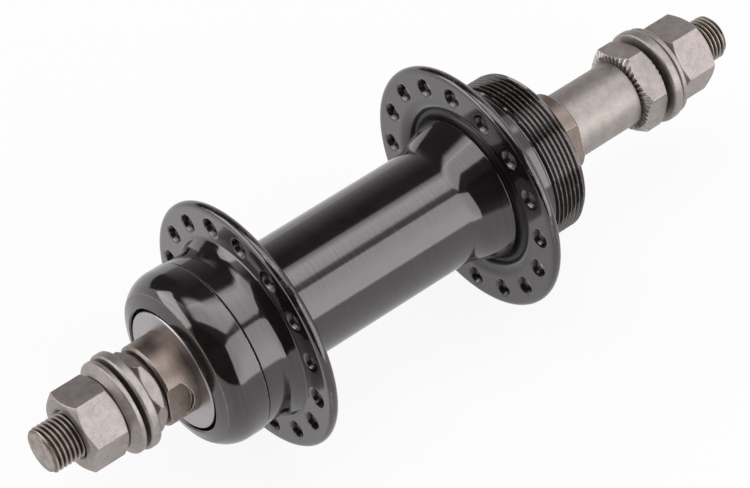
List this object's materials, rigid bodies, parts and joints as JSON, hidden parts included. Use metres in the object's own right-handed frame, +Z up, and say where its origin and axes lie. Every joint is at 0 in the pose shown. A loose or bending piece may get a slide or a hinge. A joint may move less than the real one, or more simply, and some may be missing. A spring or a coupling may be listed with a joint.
{
  "type": "bicycle rear hub",
  "caption": "Black threaded rear hub with two drilled spoke flanges, a flared barrel, cup-and-cone bearings and a solid nutted axle with washers, locknuts and a spacer tube.",
  "frame": {"origin": "on the axle's centre line, midway between the two locknut faces that the frame clamps", "axes": "+Y along the axle towards the left (plain) end, -Y towards the freewheel end, +Z up and +X across the hub; with the wheel in a frame, +X points backwards"},
  "size_m": [0.0534, 0.171, 0.0534],
  "materials": {
    "shell_paint": "gloss black, worn to bronze on the rims and crests",
    "race_steel": "ground and hardened steel",
    "ball_steel": "polished steel",
    "cone_steel": "turned steel, slightly warm",
    "dust_cap_steel": "light satin plating",
    "nut_steel": "dull zinc plating",
    "spacer_steel": "bright drawn tube",
    "washer_steel": "dull zinc plating, tumbled edges",
    "axle_steel": "rolled thread, dull and slightly oily"
  },
  "bodies": {
    "axle_set": {"axle": "axle_steel", "left_cone": "cone_steel", "right_cone": "cone_steel", "left_dust_cap": "dust_cap_steel", "right_dust_cap": "dust_cap_steel", "left_locknut": "nut_steel", "right_locknut": "nut_steel", "right_spacer": "spacer_steel"},
    "hub": {"hub_shell": "shell_paint", "left_end_cap": "shell_paint", "left_bearing_cup": "race_steel", "right_bearing_cup": "race_steel"},
    "left_ball_set": {"left_balls": "ball_steel"},
    "right_ball_set": {"right_balls": "ball_steel"},
    "left_nut_carriage": {"left_nut_flange": "nut_steel"},
    "left_nut": {"left_axle_nut": "nut_steel"},
    "left_loose_washer": {"left_washer": "washer_steel"},
    "right_nut_carriage": {"right_nut_flange": "nut_steel"},
    "right_nut": {"right_axle_nut": "nut_steel"},
    "right_loose_washer": {"right_washer": "washer_steel"}
  },
  "joints": [
    {"name": "hub_spin", "type": "hinge", "parent": "axle_set", "child": "hub", "pos_m": [0, 0, 0], "axis": [0, 1, 0], "continuous": true},
    {"name": "left_ball_orbit", "type": "hinge", "parent": "axle_set", "child": "left_ball_set", "pos_m": [0, 0.04981, 0], "axis": [0, 1, 0], "continuous": true},
    {"name": "right_ball_orbit", "type": "hinge", "parent": "axle_set", "child": "right_ball_set", "pos_m": [0, -0.02961, 0], "axis": [0, 1, 0], "continuous": true},
    {"name": "left_nut_travel", "type": "slide", "parent": "axle_set", "child": "left_nut_carriage", "axis": [0, 1, 0], "range_m": [0, 0.0049]},
    {"name": "left_nut_turn", "type": "hinge", "parent": "left_nut_carriage", "child": "left_nut", "pos_m": [0, 0.0748, 0], "axis": [0, 1, 0], "range_deg": [0, 1800]},
    {"name": "left_washer_slide", "type": "slide", "parent": "axle_set", "child": "left_loose_washer", "axis": [0, 1, 0], "range_m": [0, 0.0049]},
    {"name": "right_nut_travel", "type": "slide", "parent": "axle_set", "child": "right_nut_carriage", "axis": [0, -1, 0], "range_m": [0, 0.0049]},
    {"name": "right_nut_turn", "type": "hinge", "parent": "right_nut_carriage", "child": "right_nut", "pos_m": [0, -0.0748, 0], "axis": [0, -1, 0], "range_deg": [0, 1800]},
    {"name": "right_washer_slide", "type": "slide", "parent": "axle_set", "child": "right_loose_washer", "axis": [0, -1, 0], "range_m": [0, 0.0049]}
  ],
  "couplings": [
    {"joint": "left_ball_orbit", "follows": "hub_spin", "ratio": 0.6169},
    {"joint": "right_ball_orbit", "follows": "hub_spin", "ratio": 0.6169},
    {"joint": "left_nut_travel", "follows": "left_nut_turn", "m_per_rad": 0.00015548},
    {"joint": "left_washer_slide", "follows": "left_nut_turn", "m_per_rad": 0.00015548},
    {"joint": "right_nut_travel", "follows": "right_nut_turn", "m_per_rad": 0.00015548},
    {"joint": "right_washer_slide", "follows": "right_nut_turn", "m_per_rad": 0.00015548}
  ]
}
